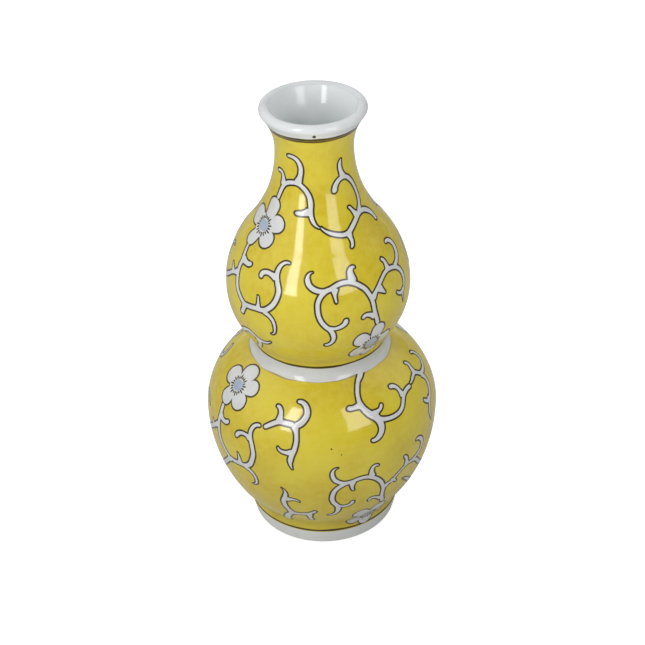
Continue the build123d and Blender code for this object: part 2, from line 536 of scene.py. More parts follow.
waist_collar = turned_piece(
    "waist_collar_glazed",
    along(
        shoulder[1]._replace(first=lower_collar_turn),
        upper_flank[0]._replace(last=upper_collar_turn),
    ),
    along(
        upper_flank_lining[1]._replace(first=upper_collar_turn),
        shoulder_lining[0]._replace(last=lower_collar_turn),
    ),
    shaded_collar_glaze,
    lit_lining_glaze,
)
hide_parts("waist_collar")
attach(waist_collar, "root")


# Upper bulb: a thrown bowl and a long shoulder drawn in to the neck, luted at the crown.
# It has the same yellow ground as the lower bulb, and a straight throat inside the neck.
neck_radius = 15.7 * mm
neck_height = 181.4 * mm
neck_hollow = 54.4 * mm
throat_radius = neck_radius - 4.1 * mm
throat_length = 8.0 * mm
throat_drop = 9.4 * mm
throat_bottom = neck_height - throat_drop - throat_length / 2
throat_top = throat_bottom + throat_length
vase_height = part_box("mouth_rim")[1].z
lip_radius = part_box("mouth_rim")[1].x
lip_round = 2.05 * mm
rim_height = 7.4 * mm
neck_place = (neck_radius, neck_height)
upper_shoulder = swell(crown_place, neck_place, neck_hollow)
inner_crown = crown_radius - wall_thickness
throat_spread = inner_crown - throat_radius
throat_rise = throat_bottom - crown_height
throat_reach = (throat_spread**2 + throat_rise**2) / (2 * throat_spread)
throat_hollow = throat_reach - upper_shoulder[0].radius + wall_thickness
throat_arcs = swell((inner_crown, crown_height), (throat_radius, throat_bottom), throat_hollow)


def flare(start, side):
    """Arc from an upright start to the lip's round, passing outside (1) or inside (-1) it."""
    across = start[0] - (lip_radius - lip_round)
    rise = vase_height - lip_round - start[1]
    radius = (across**2 + rise**2 - lip_round**2) / (2 * (side * lip_round - across))
    turn = asin(rise / (radius + side * lip_round))
    return Arc(start[0] + radius, start[1], radius, pi, pi - turn)


mouth_flare = flare(neck_place, 1)
throat_flare = flare((throat_radius, throat_top), -1)
rim_seam = vase_height - rim_height
rim_turn = pi - asin((rim_seam - neck_height) / mouth_flare.radius)
inner_rim_turn = pi - asin((rim_seam - throat_top) / throat_flare.radius)

upper_bulb = turned_piece(
    "upper_bulb",
    along(
        upper_flank[0]._replace(first=upper_collar_turn),
        upper_flank[1],
        *upper_shoulder,
        mouth_flare._replace(last=rim_turn),
    ),
    along(
        throat_flare._replace(first=inner_rim_turn, last=pi),
        *[arc._replace(first=arc.last, last=arc.first) for arc in reversed(throat_arcs)],
        upper_flank_lining[0],
        upper_flank_lining[1]._replace(last=upper_collar_turn),
    ),
    yellow_glaze,
    lit_lining_glaze,
)
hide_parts("upper_bulb_bowl", "upper_bulb_shoulder", "crown_slip", "upper_waist_slip")
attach(upper_bulb, "root")


# Mouth rim: the flared end of the neck with a thick round lip, luted to it under the painted line.
# It is in white glaze inside and out; the inside wears the lighter lining glaze, painted light.
lip = Arc(
    lip_radius - lip_round,
    vase_height - lip_round,
    lip_round,
    mouth_flare.last - pi,
    throat_flare.last,
)
mouth_rim = turned_piece(
    "mouth_rim_glazed",
    along(mouth_flare._replace(first=rim_turn), lip),
    along(throat_flare._replace(first=throat_flare.last, last=inner_rim_turn))[1:],
    white_glaze,
    lit_lining_glaze,
)
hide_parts("mouth_rim", "rim_slip")
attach(mouth_rim, "root")


# Vine: a scrolling stem with hooked tendrils, drawn on the yellow ground in two passes.
# A dark brush line goes on first, and thick white enamel is laid inside it and stands a little proud.
outline_width = 0.75
stroke_spacing = 0.35 * mm
enamel_bed = 0.05 * mm
line_heights = (0.020 * mm, 0.035 * mm)
fill_heights = (0.050 * mm, 0.110 * mm)
branch_web = 1.0
branch_web_run = 4.0
branch_root = 1.0
steps_between = 6
wall_arcs = [*flank, *shoulder, *upper_flank, *upper_shoulder, mouth_flare]


class Brush(NamedTuple):
    """A stroke's full widths at even steps, how much its foot spreads and how far back it starts."""

    widths: tuple
    web: float = 0.0
    root: float = 0.0


def vine(*widths):
    """A stroke that stands by itself or flows on from another."""
    return Brush(widths)


def shoot(*widths):
    """A stroke that leaves another along its line; its start is hidden in it."""
    return Brush(widths, root=branch_root)


def branch(*widths):
    """A stroke that springs from the side of another, with its foot spread into both corners."""
    return Brush(widths, branch_web, branch_root)


def stroke_width(brush, run, whole_run, inset):
    """Width of a stroke, this far along it and this far inside its edges, all in millimetres."""
    place = run / whole_run * (len(brush.widths) - 1)
    step = min(int(place), len(brush.widths) - 2)
    width = brush.widths[step] + (brush.widths[step + 1] - brush.widths[step]) * (place - step) - 2 * inset
    foot = max(1 - run / branch_web_run, 0.0)
    return width + 2 * brush.web * foot**2


# Each stroke's places, in degrees round to the right from the front and millimetres up the wall.
lower_left_spray = [
    (vine(3.5, 3.5, 3.5, 3.5, 3.5, 3.5, 3.5, 3.3, 2.5), [
        (-62.9, 68.2), (-62.7, 65), (-62.5, 62.9), (-62.8, 58.6), (-62.1, 54.3), (-60.9, 50.4),
        (-58.9, 47.9),
        (-57, 46.2), (-53.9, 44.4), (-50.2, 44.2), (-45.7, 45), (-41.5, 45.8), (-38.3, 48.2), (-36.5, 52.1),
        (-36, 55), (-37, 58.6), (-38.3, 61.4), (-38.8, 64.3), (-37.8, 66.8), (-35.8, 68.2), (-32.9, 68.5)]),
    (branch(3.5, 3.4, 3.3, 3.1, 2.7), [
        (-62.3, 62.5), (-59.6, 61.3), (-56.8, 61.4), (-55.1, 62.5), (-54.8, 63.9)]),
    (branch(3.3, 3.3, 3.3, 3.3, 3.1, 2.9, 2.5, 1.1), [
        (-62.9, 57.1), (-66.2, 55), (-70.3, 52), (-75.3, 48.6), (-79, 46.1), (-84, 43.5), (-90, 42),
        (-95.5, 43),
        (-99, 46.5), (-99.8, 51), (-97, 55), (-91, 58.3), (-86, 60.6), (-81, 60.4), (-76.5, 58.3)]),
    (branch(2.9, 2.6, 2.3, 1.9, 1.5), [(-68.4, 53.4), (-69.6, 55.2), (-70.6, 56.6)]),
    (branch(3.3, 3.3, 3.3, 3.2, 3.0, 1.3), [
        (-53, 43.9), (-55.1, 42.3), (-57.6, 40), (-61.3, 36.8), (-64.6, 33.9), (-70, 30), (-75.5, 27.6),
        (-81, 27.4), (-85, 29.8), (-86, 33.2), (-83.5, 35.8), (-80.5, 35.8)]),
    (branch(3.0, 2.7, 2.3, 1.5), [(-73, 28.6), (-74, 25.8), (-76.5, 23.6), (-79.5, 23)]),
    (branch(3.5, 3.1, 2.7, 2.2, 1.5), [
        (-45.4, 45), (-45.4, 47.5), (-45.7, 49.3), (-46.3, 50.7), (-47.2, 51.2)]),
    (branch(3.1, 2.7, 2.9, 3.3, 3.1), [
        (-38.3, 61.2), (-41.1, 61.9), (-44, 61.8), (-46.2, 60.7), (-47.1, 59.3), (-46.6, 57.9)]),
    (shoot(3.3, 3.1, 2.8, 2.3, 1.1), [
        (-42.4, 44.9), (-39.1, 44.1), (-37, 42.5), (-36, 40), (-36.4, 37.5), (-38.3, 35.9), (-40.2, 35.4)]),
    (vine(2.8, 3.2, 3.4, 3.5, 3.5), [
        (-32.4, 67.9), (-29.2, 69.8), (-26.3, 71.4), (-23.5, 72.4), (-19.8, 72.4), (-16.1, 72.2),
        (-14, 72.5)]),
    (branch(3.3, 3.2, 3.1, 2.9, 2.4), [
        (-23.8, 72.3), (-23.8, 74.3), (-24, 76.3), (-25.1, 77.9), (-26.7, 78.5), (-28.3, 77.9)]),
    (vine(3.7, 3.9, 3.7, 3.4, 2.4), [
        (-16.5, 72.3), (-13.6, 72.3), (-11.1, 73.7), (-9.1, 76.1), (-8.7, 78.2), (-9.9, 80.5),
        (-12.4, 81.9),
        (-14.8, 82), (-16.3, 81.6)]),
    (branch(3.3, 3.1, 3.3, 3.5, 1.3), [
        (-15.1, 72), (-14, 69.6), (-13.5, 66.8), (-13.6, 64.3), (-14.4, 61.4), (-15.6, 58.6), (-16.2, 55.7),
        (-15.6, 53.2), (-14.8, 51.5)]),
    (branch(3.3, 3.1, 2.8, 2.4, 1.5), [
        (-14.8, 60.2), (-18.1, 59.9), (-20.6, 60.1), (-22.3, 61.1), (-22.8, 62.6)]),
]
bottom_sprig = [
    (vine(4.4, 4.0, 3.4, 3.2, 2.6), [
        (-26.4, 7.6), (-24.9, 12.5), (-22.8, 16.4), (-19.8, 19.3), (-16.5, 20.1), (-12.8, 20.4),
        (-9.5, 21.4),
        (-6.6, 23.2), (-4.4, 25)]),
    (branch(3.4, 3.6, 3.6, 3.2, 1.0), [
        (-19.3, 20), (-21.6, 25), (-22.2, 27.9), (-22, 30.7), (-20.7, 33.9), (-20, 36.8), (-20.7, 38.9),
        (-22.3, 40.5)]),
    (branch(3.2, 3.1, 2.6, 2.2, 1.5), [
        (-20.8, 32.4), (-18.1, 32.7), (-15.6, 32.9), (-14, 32.3), (-13.1, 30.8)]),
    (branch(3.2, 3.1, 3.0, 3.1, 3.3), [(-9.1, 21.1), (-9.2, 18.2), (-8.8, 15.7), (-7.6, 13.3)]),
]
waist_spray = [
    (vine(4.4, 3.0, 3.1, 4.1, 4.9), [
        (36, 93.4), (33.6, 91.7), (31, 90.1), (28, 88.5), (25.7, 86.3), (23.9, 83.7), (23.1, 81),
        (23.3, 78.7),
        (24.8, 76), (27.1, 73.7), (30, 71.7), (31.1, 70.2)]),
    (vine(4.5, 4.6, 4.2, 3.6, 2.3), [
        (25.6, 75), (27.6, 73.4), (29.8, 71.8), (31.1, 69.7), (31.4, 67.3), (30.4, 65), (28.3, 63.3),
        (25.7, 62.7), (23.7, 63.5)]),
    (branch(3.7, 3.3, 3.1, 3.3, 3.1), [(23.9, 78.5), (20.9, 78.3), (17.9, 78.1), (15.3, 78.4), (13.9, 79)]),
    (branch(3.7, 3.1, 2.7, 2.7, 2.5), [(28.7, 73), (31.7, 73.7), (33.9, 74.3), (35.4, 75.5), (36.3, 76.7)]),
    (shoot(3.5, 3.1, 3.1, 3.2, 2.9), [
        (29.2, 71.8), (32.1, 70.3), (35.6, 69.3), (39.9, 68.8), (44.2, 69), (47.7, 70.3), (50.2, 72.3),
        (52.8, 74),
        (56.3, 74.8), (59.7, 74.8), (61.9, 74.3)]),
    (branch(3.3, 2.9, 2.9, 3.2, 2.7), [
        (51.8, 73.7), (51.5, 76), (51.1, 77.9), (49.6, 79.5), (47.2, 80.1), (45.1, 79.9)]),
    (vine(1.9, 2.8, 3.1, 3.1, 3.1), [
        (60.8, 75.6), (63.2, 75.3), (67.5, 76), (70.9, 76.3), (73.5, 75), (75.7, 73.3), (79.6, 72.3),
        (83.9, 72.5)]),
    (vine(3.1, 2.9, 2.9, 2.7, 2.1), [
        (80, 72.3), (83.9, 72.5), (87.3, 73.7), (89, 76), (88.6, 78.3), (86.9, 80), (83.9, 80.8)]),
    (branch(3.1, 2.9, 2.9, 2.7, 2.5), [
        (71.3, 76.2), (72.2, 78.7), (73.1, 80), (72.7, 81.5), (71.4, 82), (70.1, 81.5)]),
    (branch(3.1, 3.3, 3.5, 3.5, 1.5), [
        (75.9, 73), (77.2, 70.3), (77.4, 68), (76.5, 65.7), (73.9, 63.3), (70.9, 61.7), (68.8, 59.3),
        (67.9, 56.7),
        (68.8, 54), (69.6, 52)]),
    (branch(3.5, 3.1, 2.9, 2.7, 2.3), [(71.4, 62.3), (68.3, 62.7), (66.2, 64), (64.5, 65.7)]),
]
lower_right_spray = [
    (vine(3.2, 3.2), [
        (35.5, 20.4), (34.2, 22.7), (33, 25.4), (32.1, 28.2), (31.9, 31), (31.6, 33.8), (30.4, 37.1),
        (28.9, 39.6),
        (26.6, 42.1), (23.5, 44.2), (20.4, 45.3), (16.6, 45.2), (13.2, 44.4), (10.4, 44.4)]),
    (vine(3.3, 3.3, 3.3, 2.9, 1.2), [
        (16.6, 45.2), (13.2, 44.4), (9.7, 44.2), (7, 45.2), (5, 46.8), (4, 49.1), (4.1, 51.3),
        (5.2, 52.8), (7.5, 53.6)]),
    (vine(3.3, 3.3, 3.3, 3.5, 1.9), [
        (13.6, 44.5), (10.2, 43.8), (7, 42.1), (4.9, 39.9), (3.9, 37.1), (3.7, 34.3), (4.5, 31.6),
        (6.3, 29.1), (7.1, 26.6),
        (6.8, 23.8), (5.4, 21.6), (3.2, 20.4), (0.6, 20.8)]),
    (shoot(3.3, 2.9, 2.9, 3.1, 2.9), [
        (5.9, 29.2), (9, 27.8), (11.8, 27.8), (14, 28.9), (14.5, 30.4), (14, 31.7)]),
    (branch(3.3, 3.0, 2.7, 2.3, 1.8), [(13.7, 44.4), (13.6, 42.4), (13.7, 40.4), (14.4, 38.8), (14.8, 38)]),
    (branch(3.5, 3.4, 3.1, 2.4, 1.5), [
        (23.8, 44.2), (23.5, 46.6), (23.6, 48.3), (24.5, 50), (26.4, 50.3), (27.8, 49.1)]),
    (branch(3.1, 2.7, 2.7, 2.8, 2.3), [
        (32.6, 25.6), (30.4, 27), (28, 28.4), (25.7, 29.1), (24.4, 28.2), (24.7, 26.3)]),
    (branch(3.1, 2.8, 2.8, 2.9, 2.9, 2.9, 2.7, 1.3), [
        (31.9, 34.2), (34.5, 35.7), (37.3, 36.8), (40, 38.8), (42.8, 40.4), (45.5, 41.4), (48.3, 41.4),
        (51.4, 40.7), (54.1, 39.3), (56.5, 37.1), (58.6, 34.9), (63, 31.5), (68, 28.6), (73, 27.8),
        (77, 29.4),
        (78.4, 32.4), (76.6, 35)]),
    (branch(3.3, 2.9, 2.5, 1.9, 1.5), [(35.7, 36.4), (37.9, 35.9), (39.3, 34.6), (40.4, 33.2)]),
    (branch(3.2, 3.0, 2.9, 2.7, 2.5), [
        (45.5, 41.3), (45.3, 43.7), (44.8, 45.7), (43.6, 47.1), (42.1, 47.2)]),
    (vine(3.1, 3.3, 3.3, 3.1, 2.3), [
        (49, 41.3), (52.1, 41.7), (55.2, 42.8), (57.2, 44.6), (57.9, 46.7), (57.2, 48.9), (55.5, 50.7),
        (53.4, 51.8), (51, 51.6)]),
    (vine(1.3, 2.7, 2.9, 2.9, 2.9, 2.5, 1.1), [
        (44.6, 33), (46.2, 32), (51, 28.5), (55, 25), (58.6, 22), (63, 19.2), (68, 18.6), (71.6, 20.6),
        (71.8, 23.6), (69, 25)]),
]
upper_left_spray = [
    (vine(3.0, 3.1, 3.1, 3.1, 3.1, 3.1, 3.3, 3.1, 2.7, 1.5), [
        (-53.9, 174.5), (-53.4, 176), (-51.1, 179), (-48.1, 181.3), (-44.2, 182.8), (-38, 183.8),
        (-30.3, 184.3),
        (-23.4, 184.1), (-17.3, 183), (-11.9, 181.3), (-8, 179), (-6.5, 176.5), (-6.5, 174), (-5.7, 171.5),
        (-3.4, 169.3), (-0.3, 167.8), (3.5, 166.9), (5.1, 166.6)]),
    (branch(3.3, 3.1, 2.8, 2.6, 2.5), [
        (-47.3, 181.8), (-48.5, 183.8), (-49.9, 185.5), (-53, 186.8), (-57.3, 187.1), (-61.1, 186.8),
        (-63.9, 186.1)]),
    (branch(3.3, 3.2, 3.1, 3.0, 2.4), [
        (-25, 184.4), (-22.6, 186.3), (-20.8, 188.3), (-20.3, 190.5), (-21.9, 192.5), (-26, 194.3),
        (-31.9, 195.2),
        (-38, 195.3), (-43.4, 194.6)]),
    (branch(3.5, 3.3, 3.3, 3.1, 2.5), [
        (-7.2, 173.5), (-12.6, 172.8), (-18, 172.4), (-23.4, 172.5), (-25.4, 173.5)]),
    (vine(2.6, 3.4, 3.4, 3.4, 3.4, 3.4, 3.4, 3.4, 3.2, 1.9), [
        (-66.3, 153.2), (-65.9, 152), (-64.9, 148.7), (-63.7, 145.7), (-64.4, 142.7), (-63.9, 140),
        (-62.4, 136.3), (-59.9, 133.3),
        (-55.8, 131), (-51.8, 129.5), (-46.8, 129.7), (-41.8, 130.3), (-35.8, 130.8), (-31.2, 133),
        (-28.2, 135.7),
        (-26.5, 139), (-26.5, 141.3), (-27.9, 143.7), (-29.2, 146), (-29.5, 148.3), (-28.2, 150.7),
        (-25.2, 152.3),
        (-22.2, 152.5), (-19.9, 151.9)]),
    (branch(3.7, 3.5, 3.5, 3.3, 2.9), [
        (-63.9, 146.5), (-60.4, 146.1), (-56.3, 146), (-53.6, 146.8), (-53, 147.9)]),
    (branch(2.9, 2.9, 3.1, 3.1, 3.1, 2.7, 1.5), [
        (-64.4, 140), (-67.9, 138.7), (-71.9, 137.3), (-76.4, 135), (-80.9, 133), (-85, 131.5),
        (-89.5, 131.3),
        (-93, 133.4), (-94.6, 137), (-94, 141), (-91.4, 144.4), (-87.8, 145.8), (-84, 145.2)]),
    (branch(3.1, 2.7, 2.4, 2.1, 1.7), [(-70.6, 138), (-73, 140), (-74.6, 141.2), (-75.6, 141.6)]),
    (branch(3.3, 3.1, 3.1, 3.3, 2.9), [
        (-29.2, 145.7), (-32.7, 146.3), (-36.8, 146.7), (-40.3, 146), (-41.5, 144.8), (-40.6, 143)]),
    (branch(3.3, 2.7, 2.5, 2.2, 1.5), [
        (-40, 130.1), (-40, 132.7), (-40.3, 134.3), (-40.6, 135.7), (-42, 136.5)]),
    (branch(3.3, 3.3, 3.3, 3.5, 3.5), [(-51.6, 129.7), (-52.6, 127.3), (-53.8, 125.5), (-56, 124)]),
    (shoot(3.3, 3.0, 2.7, 2.2, 1.5), [
        (-35.8, 130.3), (-31.7, 129.2), (-28.9, 127.2), (-27.9, 124.7), (-28.2, 122.1), (-29.9, 120.7),
        (-31.9, 120.8)]),
    (vine(1.3, 2.9, 3.1, 3.1, 3.1, 3.2, 3.3, 3.1, 1.3), [
        (-91, 111.5), (-94, 109.4), (-93, 106.5), (-87.5, 104.4), (-80, 104.6), (-72, 107),
        (-63.9, 110.7), (-58.9, 113.7), (-54.8, 115.3), (-50.3, 115.9), (-46.3, 114.7), (-42.3, 113.2),
        (-37.8, 113.3), (-34.2, 114.5), (-31.7, 116.1)]),
    (branch(3.1, 3.1, 2.9, 1.3), [
        (-44, 113.2), (-44.3, 110.7), (-45.8, 108.7), (-48.8, 106), (-52, 104.2), (-56, 103.4)]),
]
upper_right_spray = [
    (vine(1.7, 2.8, 3.1, 3.3, 3.3, 3.3, 3.3, 2.9), [
        (3, 167.8), (6.5, 166.3), (11.9, 164.8), (19.6, 163.5), (27.3, 162.8), (32.7, 163.3), (38.1, 164.8),
        (44.2, 166.5), (50.4, 168), (56.5, 168.5), (62.7, 168), (68.8, 166.3), (72.7, 164.3), (74.2, 162),
        (72.9, 160)]),
    (branch(3.1, 2.8, 2.8, 2.6, 1.7), [
        (31.5, 163.3), (32.2, 161.3), (32.4, 159.5), (31.2, 157.8), (28.1, 156.7)]),
    (branch(3.3, 2.7, 2.6, 2.4, 2.1), [
        (48.8, 168), (46.1, 169.8), (44.2, 171.1), (41.9, 172.3), (37.8, 172.4)]),
    (branch(3.1, 2.9, 2.9, 3.1, 3.7), [
        (54.2, 168.2), (56.5, 170), (60.4, 172.5), (61.9, 175), (61.2, 178), (58.1, 180.8), (52.7, 183.3),
        (46.5, 184.8), (39.6, 185.1), (33.5, 184.5), (28.1, 182.8), (25.8, 180.8), (26.5, 179.2)]),
    (branch(3.3, 3.1, 3.1, 2.8, 1.5), [
        (41.9, 184.8), (39.9, 186.8), (38.1, 188.8), (37.6, 190.8), (39.3, 192.6), (42.7, 193.5)]),
    (vine(3.2, 3.2), [
        (38.2, 121.5), (37.4, 123.3), (36.2, 126.7), (35.4, 129.3), (35.1, 132), (34.4, 134.7),
        (32.9, 137.3),
        (30.9, 139.7), (27.8, 141.7), (24.3, 143.3), (20.3, 144.3), (16.2, 144.5), (12.2, 144),
        (8.2, 142.8),
        (4.6, 142)]),
    (vine(3.3, 3.2, 3.4, 3.3, 1.2), [
        (12.2, 144), (7.6, 142.7), (3.1, 142), (-0.4, 142.3), (-3.7, 143.2), (-6.3, 144.8),
        (-7.3, 146.8), (-6.8, 148.5),
        (-5.1, 149.5), (-2.4, 149.9)]),
    (vine(3.3, 3.1, 3.1, 3.3, 2.3), [
        (8.6, 143), (4.6, 142), (1.2, 140), (-0.7, 137.3), (-0.9, 134.7), (-0.4, 132), (1.1, 129.3),
        (3.6, 127), (6.2, 125.3),
        (7.7, 123.3), (8.2, 121), (7.2, 119), (4.6, 117.7), (1.6, 117.9)]),
    (shoot(3.1, 2.8, 3.0, 3.4, 3.3), [
        (5.1, 126.1), (8.7, 125.7), (12.2, 126.1), (15, 127.2), (15.9, 128.5), (15, 130)]),
    (branch(3.3, 2.8, 2.5, 2.3, 2.1), [
        (10.4, 142.8), (10.2, 140.7), (10.4, 138.8), (11, 137), (12, 136.5)]),
    (branch(4.1, 4.3, 4.0, 2.9, 1.5), [
        (23.1, 143.7), (22.9, 146), (22.8, 147.7), (23.8, 149.1), (26.1, 149.7), (28.1, 148.8)]),
    (branch(3.2, 3.0, 3.0, 2.9, 2.7), [
        (35.6, 126.8), (32.9, 127.9), (29.9, 128.7), (27.6, 128.3), (26.9, 126.7)]),
    (branch(3.1, 3.0, 3.1, 3.3, 1.5), [
        (35, 134.6), (38.4, 137), (41.5, 138.7), (45, 140.5), (48.5, 141.9), (52.6, 142.5), (57.6, 142),
        (62.1, 140.7), (65.7, 138.3), (67.4, 135.3), (67.2, 132.3), (65.2, 129.7), (63.2, 128),
        (63.5, 125.7),
        (64.2, 123.3)]),
    (branch(3.5, 3.3, 2.9, 2.3, 1.7), [(41, 138), (43.3, 136.3), (45, 135), (46.5, 134)]),
    (branch(3.3, 3.1, 2.9, 2.7, 2.5), [
        (53.1, 142.1), (53.2, 144.1), (52.9, 146.1), (51.6, 147.5), (49, 148)]),
    (vine(3.3, 3.5, 3.6, 3.2, 2.3), [
        (59.1, 141.7), (63.2, 142), (67.2, 143.3), (70.2, 145.3), (71.4, 147.7), (70.7, 149.9),
        (68.2, 151.5),
        (65.2, 151.9), (62.4, 151.2)]),
    (branch(3.1, 2.8, 2.7, 2.3, 1.9), [(64.7, 129.3), (61.1, 129.2), (58.1, 130.2), (55.4, 131.9)]),
]


def wall_point(degrees_round, wall_length):
    """Point on the outer skin: degrees round to the right from the front, millimetres up the wall."""
    left = wall_length * mm
    for arc in wall_arcs:
        if left <= arc.length() or arc is wall_arcs[-1]:
            break
        left -= arc.length()
    out, up = arc.at(arc.first + (arc.last - arc.first) * left / arc.length())
    turn = radians(degrees_round)
    return Vector((out * sin(turn), -out * cos(turn), up))


def smooth_run(places):
    """Closer places along a smooth line through given ones."""
    marks = [Vector(place) for place in places]
    marks = [2 * marks[0] - marks[1], *marks, 2 * marks[-1] - marks[-2]]
    run = []
    for before, start, end, after in zip(marks, marks[1:], marks[2:], marks[3:]):
        for step in range(steps_between):
            t = step / steps_between
            straight = 2 * start + (end - before) * t
            bend = (2 * before - 5 * start + 4 * end - after) * t**2
            twist = (3 * start - before - 3 * end + after) * t**3
            run.append((straight + bend + twist) / 2)
    return [*run, marks[-2]]


def add_stroke(drawing, brush, places, inset):
    """Add one stroke to a drawing, a brush's width wide at each point along it, less the inset."""
    points = [wall_point(*place) for place in smooth_run(places)]
    runs = [0.0]
    for before, after in zip(points, points[1:]):
        runs.append(runs[-1] + (after - before).length / mm)
    if brush.root:
        points.insert(0, points[0] + (points[0] - points[1]).normalized() * brush.root * mm)
        runs.insert(0, 0.0)
    spline = drawing.splines.new("POLY")
    spline.points.add(len(points) - 1)
    for mark, point, run in zip(spline.points, points, runs):
        mark.co = (*point, 1.0)
        mark.radius = max(stroke_width(brush, run, runs[-1], inset), 0.0) / 2 * mm
    return spline


def new_drawing(name):
    """An empty drawing: a helper curve that strokes are added to."""
    drawing = bpy.data.curves.new(name, "CURVE")
    drawing.dimensions = "3D"
    drawn = bpy.data.objects.new(name, drawing)
    bpy.context.scene.collection.objects.link(drawn)
    return drawn


def draw_strokes(name, groups, inset=0.0):
    """Draw groups of strokes on the front and again on the back, each turned its own way round."""
    drawn = new_drawing(name)
    for strokes, back_turn in groups:
        for brush, places in strokes:
            add_stroke(drawn.data, brush, places, inset)
            add_stroke(drawn.data, brush, [(around + back_turn, up) for around, up in places], inset)
    return drawn


def brush_tree():
    """Lay enamel along strokes on the wall: a low ridge with round ends that follows the surface."""
    tree = new_geometry_tree(
        "brushed enamel",
        {
            "Strokes": "Object",
            "Wall": "Object",
            "Trim": "Float",
            "Edge height": "Float",
            "Middle height": "Float",
            "Bed depth": "Float",
            "Spacing": "Float",
            "Points across": "Int",
            "Enamel": "Material",
        },
    )
    given = add_node(tree, "NodeGroupInput").outputs
    wall = add_node(tree, "GeometryNodeObjectInfo", {"Object": given["Wall"]}).outputs["Geometry"]
    drawn = add_node(tree, "GeometryNodeObjectInfo", {"Object": given["Strokes"]}).outputs["Geometry"]
    flowing = add_node(tree, "GeometryNodeCurveSplineType", {0: drawn}, spline_type="CATMULL_ROM").outputs[0]
    even = add_node(
        tree, "GeometryNodeResampleCurve", {0: flowing, "Length": given["Spacing"]}, mode="LENGTH"
    ).outputs[0]
    whole_length = add_node(tree, "GeometryNodeSplineLength").outputs[0]
    trimmed = add_node(
        tree,
        "GeometryNodeTrimCurve",
        {0: even, 4: given["Trim"], 5: calc(tree, "SUBTRACT", whole_length, given["Trim"])},
        mode="LENGTH",
    ).outputs[0]
    stroke = add_node(
        tree,
        "GeometryNodeSwitch",
        {"Switch": calc(tree, "GREATER_THAN", given["Trim"], 0.0), "False": even, "True": trimmed},
        input_type="GEOMETRY",
    ).outputs[0]
    position = add_node(tree, "GeometryNodeInputPosition").outputs[0]
    on_wall = add_node(
        tree, "GeometryNodeProximity", {"Geometry": wall, "Sample Position": position}
    ).outputs["Position"]
    wall_normal = add_node(
        tree,
        "GeometryNodeSampleNearestSurface",
        {
            "Mesh": wall,
            "Value": add_node(tree, "GeometryNodeInputNormal").outputs[0],
            "Sample Position": position,
        },
        data_type="FLOAT_VECTOR",
    ).outputs["Value"]
    laid = add_node(tree, "GeometryNodeSetPosition", {"Geometry": stroke, "Position": on_wall}).outputs[0]
    upright = add_node(
        tree, "GeometryNodeSetCurveNormal", {"Curve": laid, "Normal": wall_normal}, mode="FREE"
    ).outputs[0]
    run = add_node(tree, "GeometryNodeSplineParameter").outputs["Length"]
    to_end = calc(tree, "MINIMUM", run, calc(tree, "SUBTRACT", whole_length, run))
    radius = add_node(tree, "GeometryNodeInputRadius").outputs[0]
    half_width = calc(tree, "MAXIMUM", radius, 1e-6)
    before_end = calc(tree, "MINIMUM", calc(tree, "DIVIDE", to_end, half_width), 1.0)
    short_of_round = calc(tree, "POWER", calc(tree, "SUBTRACT", 1.0, before_end), 2.0)
    rounded = calc(tree, "SQRT", calc(tree, "SUBTRACT", 1.0, short_of_round))
    cyclic = add_node(tree, "GeometryNodeInputSplineCyclic").outputs[0]
    spread = calc(tree, "MULTIPLY", half_width, calc(tree, "MAXIMUM", rounded, cyclic))
    ring = add_node(
        tree, "GeometryNodeCurvePrimitiveCircle", {"Resolution": given["Points across"], "Radius": 1.0}
    ).outputs[0]
    ring_place = add_node(tree, "ShaderNodeSeparateXYZ", {0: position}).outputs
    flat_place = add_node(
        tree,
        "ShaderNodeCombineXYZ",
        {"X": calc(tree, "MULTIPLY", ring_place["X"], 0.02), "Y": ring_place["Y"]},
    ).outputs[0]
    marked = add_node(tree, "GeometryNodeCaptureAttribute")
    marked.capture_items.new("FLOAT", "Lift")
    tree.links.new(ring, marked.inputs["Geometry"])
    tree.links.new(ring_place["X"], marked.inputs["Lift"])
    flat_ring = add_node(
        tree, "GeometryNodeSetPosition", {"Geometry": marked.outputs["Geometry"], "Position": flat_place}
    ).outputs[0]
    ridge = add_node(
        tree, "GeometryNodeCurveToMesh", {"Curve": upright, "Profile Curve": flat_ring, "Scale": spread}
    ).outputs[0]
    lift = marked.outputs["Lift"]
    ridge = add_node(
        tree, "GeometryNodeStoreNamedAttribute", {"Geometry": ridge, "Name": "crown", "Value": lift}
    ).outputs[0]
    rise = calc(tree, "SUBTRACT", given["Middle height"], given["Edge height"])
    top = calc(tree, "MULTIPLY_ADD", calc(tree, "MAXIMUM", lift, 0.0), rise, given["Edge height"])
    below = calc(tree, "LESS_THAN", lift, -0.01)
    drop = calc(tree, "ADD", given["Edge height"], given["Bed depth"])
    height = calc(tree, "SUBTRACT", top, calc(tree, "MULTIPLY", below, drop))
    raised = add_node(
        tree, "ShaderNodeVectorMath", {0: wall_normal, "Scale": height}, operation="SCALE"
    ).outputs[0]
    settled = add_node(
        tree, "GeometryNodeSetPosition", {"Geometry": ridge, "Position": on_wall, "Offset": raised}
    ).outputs[0]
    closed = add_node(tree, "GeometryNodeMergeByDistance", {"Geometry": settled, "Distance": 1e-6}).outputs[0]
    whole = add_node(tree, "GeometryNodeRealizeInstances", {"Geometry": closed}).outputs[0]
    coloured = add_node(
        tree, "GeometryNodeSetMaterial", {"Geometry": whole, "Material": given["Enamel"]}
    ).outputs[0]
    add_node(tree, "NodeGroupOutput", {0: coloured})
    return tree


def paint(name, drawn, enamel, slot, edge, middle, trim=0.0, points_across=12):
    """Paint drawn strokes on the wall as one piece of enamel."""
    painted = run_tree(
        name,
        brushed_enamel,
        {
            "Strokes": drawn,
            "Wall": bare_wall,
            "Trim": trim,
            "Edge height": edge,
            "Middle height": middle,
            "Bed depth": enamel_bed,
            "Spacing": stroke_spacing,
            "Points across": points_across,
            "Enamel": enamel,
        },
    )
    face_outwards(painted)
    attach(painted, "root")
    return painted


